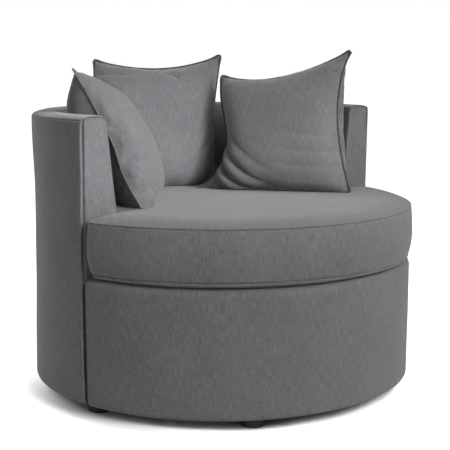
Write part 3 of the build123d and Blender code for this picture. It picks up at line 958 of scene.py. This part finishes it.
def pucker_heights(u, v, seed):
    """Height of the short creases that run in from a pillow's edges."""
    height = np.zeros(u.shape)
    for number, (inward, along) in enumerate(((1 - abs(u), v), (1 - abs(v), u))):
        inward = inward * pillow_size / 2
        places = np.stack([along * pillow_size / 2, np.sign(u if number == 0 else v), 0 * u], -1)
        crease = unevenness(places * (1, pucker_size * pucker_stretch, 1), pucker_size, seed + number)
        fade = np.exp(-inward / pucker_length) * (1 - np.exp(-inward / pucker_start))
        height += pucker_depth * crease * fade
    return height


def pillow_edges(name):
    """Left, right, lower and upper edges of a pillow between its corners, drawn in along the way."""
    t = np.linspace(-1, 1, pillow_fine)[:, None]
    low_left, low_right, high_left, high_right = np.array(pillow_corners[name])
    ends = ((low_left, high_left), (low_right, high_right), (low_left, low_right), (high_left, high_right))
    inward = np.array(((1, 0, 0), (-1, 0, 0), (0, 1, 0), (0, -1, 0)))
    edges = []
    for (start, end), (draw, more), way in zip(ends, edge_draws[name], inward):
        edges.append(start * (1 - t) / 2 + end * (1 + t) / 2 + way * (draw + more * t) * (1 - t**2))
    edges[0][:, 2:] -= edge_backs[name] * smooth_step(-2 * t) * (1 - t**2)
    return edges


def spread_edges(left, right, low, high):
    """Values over a grid that run evenly from edge to edge."""
    s = np.linspace(0, 1, pillow_fine)[:, None, None]
    t = s.reshape(1, -1, 1)
    across = (1 - s) * left + s * right
    upward = (1 - t) * low[:, None] + t * high[:, None]
    ends = (1 - t) * ((1 - s) * low[0] + s * low[-1]) + t * ((1 - s) * high[0] + s * high[-1])
    return across + upward - ends


def shape_side(name, grid, side):
    """Turn one face of a filled pillow, fit it to the pillow's edges, let it sag and crease it."""
    turns = pillow_quarter_turns[name]
    quarter = np.array(((0, 1, 0), (-1, 0, 0), (0, 0, 1)))
    grid = np.rot90(grid, turns) @ np.linalg.matrix_power(quarter, turns)
    u, v = flat_grid(pillow_fine)
    fullness, back_fullness = pillow_fills[name]
    grid[..., 2] *= fullness if side > 0 else 1 + (back_fullness - 1) * smooth_step(2 * v)
    depth = abs(grid[..., 2]) * 2 / pillow_thickness
    if side > 0:
        grid[..., 2] = pillow_thickness / 2 * depth ** pillow_edge_fills[name]
    now = (grid[0], grid[-1], grid[:, 0], grid[:, -1])
    grid = grid + spread_edges(*(edge - line for edge, line in zip(pillow_edges(name), now)))
    sag = pillow_sags[name] + back_sag * (side < 0)
    grid[..., 1] -= sag * smooth_step(sag_top - v) * depth
    if side < 0:
        inward = (1 - u) / overhang_place
        grid[..., 0] += back_overhangs[name] * inward * np.exp(1 - inward) * (1 - v**2)
    normal = np.cross(np.gradient(grid, axis=0), np.gradient(grid, axis=1)) * side
    normal /= np.maximum(np.linalg.norm(normal, axis=-1), tiny)[..., None]
    inner = (abs(u) < 1) & (abs(v) < 1)
    height = pucker_heights(u, v, pucker_seed + 3 * turns)
    if side > 0:
        inward = 1 - np.maximum(abs(u), abs(v))
        height += fold_heights(name, u, v) * smooth_step(fold_fade * inward)
    return grid + normal * (height * inner)[..., None]


def place_pillow(name, points):
    """Stand a shaped pillow in its place, with its lower edge pressed flat on the seat."""
    low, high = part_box("pillow_cover_" + name)
    axes = np.array(pillow_axes(name))
    placed = np.array((low + high) / 2) + points @ axes
    sunk = np.maximum(0, cushion_high.z + pillow_clear - placed[..., 2])
    placed[..., 2] += sunk
    return placed + (pillow_spread * sunk * np.sign(points[..., 2]))[..., None] * axes[2]


def make_pillow(name, filled, fabric, overlock):
    """Loose pillow with knife edges and an overlocked rim."""
    front, back = (shape_side(name, grid, side) for grid, side in zip(filled, (1, -1)))
    points = place_pillow(name, join_sides(front, back))
    u, v = flat_grid(pillow_fine)
    flat = np.stack([u, v, 0 * u], -1) * pillow_cut / 2
    piece = make_piece("pillow_" + name, points, pillow_faces(pillow_fine), join_sides(flat, flat)[:, :2])
    nodes = ("pillow_cover_" + name, "pillow_filling_" + name)
    dress(piece, "pillow_" + name, "upholstery", fabric, *nodes)
    grid = points[pillow_index(pillow_fine)[0]]
    ring = np.vstack([grid[:-1, 0], grid[-1, :-1], grid[:0:-1, -1], grid[0, :0:-1]])
    make_rim(name, ring, grid[[0, 0, -1, -1], [0, -1, 0, -1]], fabric, overlock)


def make_rim(name, ring, corners, fabric, overlock):
    """Overlocked edge round a pillow: a thin flat band, wider at the corners, with a light outer edge."""
    ring = resample(ring, rim_step, closed=True)
    ahead = directions(ring)
    away = unit_rows(np.cross(ahead, pillow_axes(name)[2]))
    apart = np.linalg.norm(ring[:, None] - corners[None], axis=-1).min(axis=1)
    width = (rim_width * (1 + dip(apart, rim_corner_gain, rim_corner)))[:, None]
    turns = np.linspace(0, 2 * pi, rim_sides, endpoint=False)
    rows = []
    for turn in turns:
        reach = width / 2 * (1 + cos(turn)) - rim_tuck * width
        rows.append(ring + away * reach + np.cross(away, ahead) * (rim_thickness / 2 * sin(turn)))
    points = np.array(rows + rows[:1])
    points[..., 2] = np.maximum(points[..., 2], cushion_high.z + rim_clear)
    around = np.arange(len(ring)) * rim_step
    across = np.linspace(0, rim_weave, rim_sides + 1)
    faces = grid_faces(*points.shape[:2], wrap=True)
    piece = make_piece("pillow_rim_" + name, points, faces, weave_grid(around, across[:, None]))
    dress(piece, "pillow_" + name, "upholstery", overlock)
    piece.data.materials.append(fabric)
    for face in piece.data.polygons:
        row = face.index // len(ring)
        face.material_index = int(row in (0, rim_sides - 1))


def node_material(name):
    """New material with its node tree and shader."""
    material = bpy.data.materials.new(name)
    material.use_nodes = True
    tree = material.node_tree
    return material, tree, tree.nodes["Principled BSDF"]


def set_inputs(node, inputs):
    """Set values on a node's inputs."""
    for key, value in inputs.items():
        node.inputs[key].default_value = value


def add_node(tree, kind, inputs=(), **settings):
    """New node with its settings, and its inputs set or linked."""
    node = tree.nodes.new(kind)
    for key, value in settings.items():
        setattr(node, key, value)
    for key, value in dict(inputs).items():
        if isinstance(value, bpy.types.NodeSocket):
            tree.links.new(value, node.inputs[key])
        else:
            node.inputs[key].default_value = value
    return node


def maths(tree, operation, first, second):
    """Result of one sum on two values or sockets."""
    return add_node(tree, "ShaderNodeMath", {0: first, 1: second}, operation=operation).outputs[0]


def streaks(tree, vector, scale, detail=2.0):
    """Random streaks: noise in coordinates scaled differently each way."""
    spread = add_node(tree, "ShaderNodeMapping", {"Vector": vector, "Scale": scale}).outputs[0]
    texture = add_node(tree, "ShaderNodeTexNoise", {"Vector": spread, "Scale": 1.0, "Detail": detail})
    return texture.outputs["Fac"]


def colour_mix(tree, share, dark, light):
    """Colour between two, by a share."""
    ramp = add_node(tree, "ShaderNodeValToRGB", {"Fac": share})
    for stop, position, colour in zip(ramp.color_ramp.elements, colour_ends, (dark, light)):
        stop.position = position
        stop.color = (*colour, 1)
    return ramp.outputs["Color"]


def link_surface(tree, shader, colour, relief, strength, depth):
    """Give a shader a colour and a relief."""
    bump = add_node(tree, "ShaderNodeBump", {"Strength": strength, "Distance": depth, "Height": relief})
    tree.links.new(colour, shader.inputs["Base Color"])
    tree.links.new(bump.outputs[0], shader.inputs["Normal"])


def make_fabric(name, dark, light, pitch):
    """Woven melange cloth: two sets of threads, slubs along both, and a soft sheen."""
    material, tree, shader = node_material(name)
    weave = add_node(tree, "ShaderNodeUVMap", uv_map=weave_map).outputs[0]
    split = add_node(tree, "ShaderNodeSeparateXYZ", {0: weave}).outputs
    turn = 2 * pi / pitch
    warp = maths(tree, "SINE", maths(tree, "MULTIPLY", split[0], turn), 0.0)
    weft = maths(tree, "SINE", maths(tree, "MULTIPLY", split[1], turn), 0.0)
    threads = maths(tree, "MULTIPLY", warp, weft)
    upright = streaks(tree, weave, upright_streaks)
    level = streaks(tree, weave, level_streaks)
    cloudy = streaks(tree, weave, cloud_streaks, cloud_detail)
    share = maths(tree, "MULTIPLY", upright, upright_share)
    for part, weight in ((level, level_share), (cloudy, cloud_share), (threads, thread_share)):
        share = maths(tree, "ADD", share, maths(tree, "MULTIPLY", part, weight))
    relief = maths(tree, "MULTIPLY", threads, thread_relief)
    relief = maths(tree, "ADD", relief, maths(tree, "MULTIPLY", upright, upright_relief))
    link_surface(tree, shader, colour_mix(tree, share, dark, light), relief, *cloth_bump)
    set_inputs(shader, cloth_finish)
    return material


def make_grained(name, dark, light, scale, roughness, depth, metallic=0.0, gloss=0.5):
    """Plain material with grain, streaks or cells in its colour and surface."""
    material, tree, shader = node_material(name)
    place = add_node(tree, "ShaderNodeTexCoord").outputs["Object"]
    grain = streaks(tree, place, scale, grain_detail)
    link_surface(tree, shader, colour_mix(tree, grain, dark, light), grain, grain_bump, depth)
    set_inputs(shader, {"Roughness": roughness, "Metallic": metallic, "Specular IOR Level": gloss})
    return material


def make_frame_materials():
    """Materials of the parts that keep their CAD shape."""
    for slot, names in nodes_by_slot.items():
        material = make_grained(slot, *finishes[slot])
        for name in names:
            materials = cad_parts[name].data.materials
            materials.clear()
            materials.append(material)


def background_rays(tree):
    """One for rays that show the background: from the camera, off gloss or through glass."""
    rays = add_node(tree, "ShaderNodeLightPath").outputs
    shiny = maths(tree, "MAXIMUM", rays["Is Glossy Ray"], rays["Is Transmission Ray"])
    return maths(tree, "MAXIMUM", rays["Is Camera Ray"], shiny)


def make_floor():
    """Pale floor, white for the camera through its glow, with a painted shadow where ambient occlusion dims
    that glow under the chair and further out on its left side.
    """
    half = floor_size / 2
    corners = [(-half, -half, 0), (half, -half, 0), (half, half, 0), (-half, half, 0)]
    mesh = bpy.data.meshes.new("floor")
    mesh.from_pydata(corners, [], [(0, 1, 2, 3)])
    floor = bpy.data.objects.new("floor", mesh)
    bpy.context.scene.collection.objects.link(floor)
    material, tree, shader = node_material("floor")
    set_inputs(shader, floor_finish)
    seen = background_rays(tree)
    # Painted shadow: the glow is cut where ambient occlusion finds the chair close above, and dimmed
    # further out on the left side
    under = add_node(tree, "ShaderNodeAmbientOcclusion", {"Distance": floor_shade_reach}).outputs["AO"]
    near = add_node(tree, "ShaderNodeAmbientOcclusion", {"Distance": side_shade_reach}).outputs["AO"]
    place = add_node(tree, "ShaderNodeTexCoord").outputs["Object"]
    across = add_node(tree, "ShaderNodeSeparateXYZ", {0: place}).outputs[0]
    start, end = floor_shade_range
    contact = {"Value": under, "From Min": start, "From Max": end}
    tight = add_node(tree, "ShaderNodeMapRange", contact).outputs[0]
    ends = {"Value": across, "From Min": side_shade_start, "From Max": side_shade_end}
    share = add_node(tree, "ShaderNodeMapRange", ends).outputs[0]
    lost = maths(tree, "SUBTRACT", 1.0, maths(tree, "POWER", near, side_shade_power))
    soft = maths(tree, "SUBTRACT", 1.0, maths(tree, "MULTIPLY", share, lost))
    glow = maths(tree, "MULTIPLY", maths(tree, "MULTIPLY", tight, soft), floor_glow)
    tree.links.new(maths(tree, "MULTIPLY", seen, glow), shader.inputs["Emission Strength"])
    mesh.materials.append(material)


def make_world():
    """Even studio light, plain white where the background shows."""
    world = bpy.data.worlds.new("studio")
    bpy.context.scene.world = world
    world.use_nodes = True
    tree = world.node_tree
    seen = background_rays(tree)
    strength = maths(tree, "ADD", maths(tree, "MULTIPLY", seen, 1 - world_fill), world_fill)
    tree.nodes["Background"].inputs["Color"].default_value = (1, 1, 1, 1)
    tree.links.new(strength, tree.nodes["Background"].inputs["Strength"])


def add_light(name, place, target, size, power, spread=180, height=None):
    """Soft light aimed at a point, square or as wide and high as given."""
    light = bpy.data.lights.new(name, "AREA")
    light.shape = "RECTANGLE"
    light.spread = radians(spread)
    light.size = size
    light.size_y = height or size
    light.energy = power
    lamp = bpy.data.objects.new(name, light)
    lamp.location = place
    lamp.rotation_euler = (Vector(target) - Vector(place)).to_track_quat("-Z", "Y").to_euler()
    bpy.context.scene.collection.objects.link(lamp)


def make_camera():
    """Camera standing where the photograph was taken from."""
    camera = bpy.data.cameras.new("camera")
    camera.lens = camera_lens
    camera.sensor_width = camera_sensor
    camera.shift_x, camera.shift_y = camera_shift
    stand = bpy.data.objects.new("camera", camera)
    stand.location = camera_place
    stand.rotation_euler = (radians(90 - camera_dip), 0, radians(camera_turn))
    bpy.context.scene.collection.objects.link(stand)
    bpy.context.scene.camera = stand


def main():
    """Build every piece, then the stage."""
    fabric, overlock, deck_fabric, dust_fabric = (make_fabric(name, *look) for name, look in cloths.items())
    painted_joint_shade = make_grained("painted_joint_shade", *finishes["painted_joint_shade"])
    make_frame_materials()
    make_outer_panel(fabric)
    make_wadding(painted_joint_shade)
    make_top_band(fabric)
    make_inside_panel(fabric)
    make_front_panel(fabric)
    for side in facing_gaps:
        make_facing(side, fabric)
    make_deck(deck_fabric)
    make_dust_cover(dust_fabric)
    make_cushion(fabric)
    filled = fill_pillow()
    for name in pillow_turn:
        make_pillow(name, filled, fabric, overlock)
    make_floor()
    make_world()
    for name, light in lights.items():
        add_light(name, *light)
    make_camera()
    bpy.context.scene.view_settings.view_transform = "Standard"


main()
